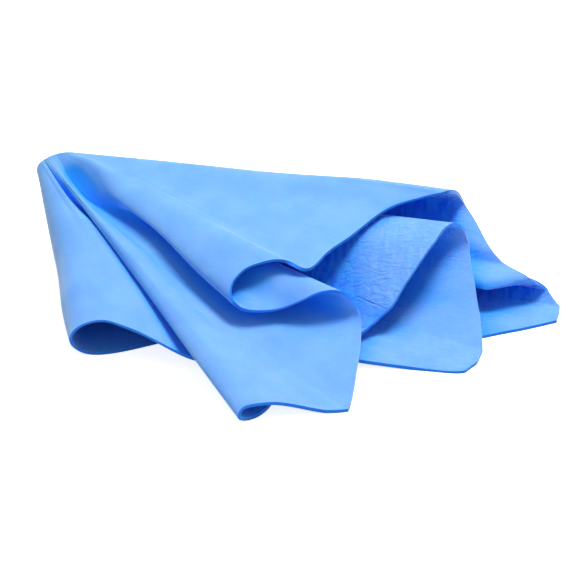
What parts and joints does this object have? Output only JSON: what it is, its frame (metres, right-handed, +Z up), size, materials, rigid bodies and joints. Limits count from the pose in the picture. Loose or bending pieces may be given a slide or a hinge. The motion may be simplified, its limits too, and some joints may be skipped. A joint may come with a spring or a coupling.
{
  "type": "chamois cloth",
  "caption": "Soft blue drying cloth, one unhemmed sheet picked up near its middle and laid on its side so that its folds fan out from a gathered peak.",
  "frame": {"origin": "centre of the bounding box on the plane that the cloth lies on", "axes": "+X along the fan of folds, from the gathered peak's side to the right corner; +Z up from the ground; the picture looks along +Y, from the front and slightly above"},
  "size_m": [0.2876, 0.2088, 0.0609],
  "materials": {
    "chamois": "soft matte, smooth synthetic chamois"
  },
  "bodies": {
    "root": {"chamois_sheet": "chamois"}
  },
  "joints": []
}
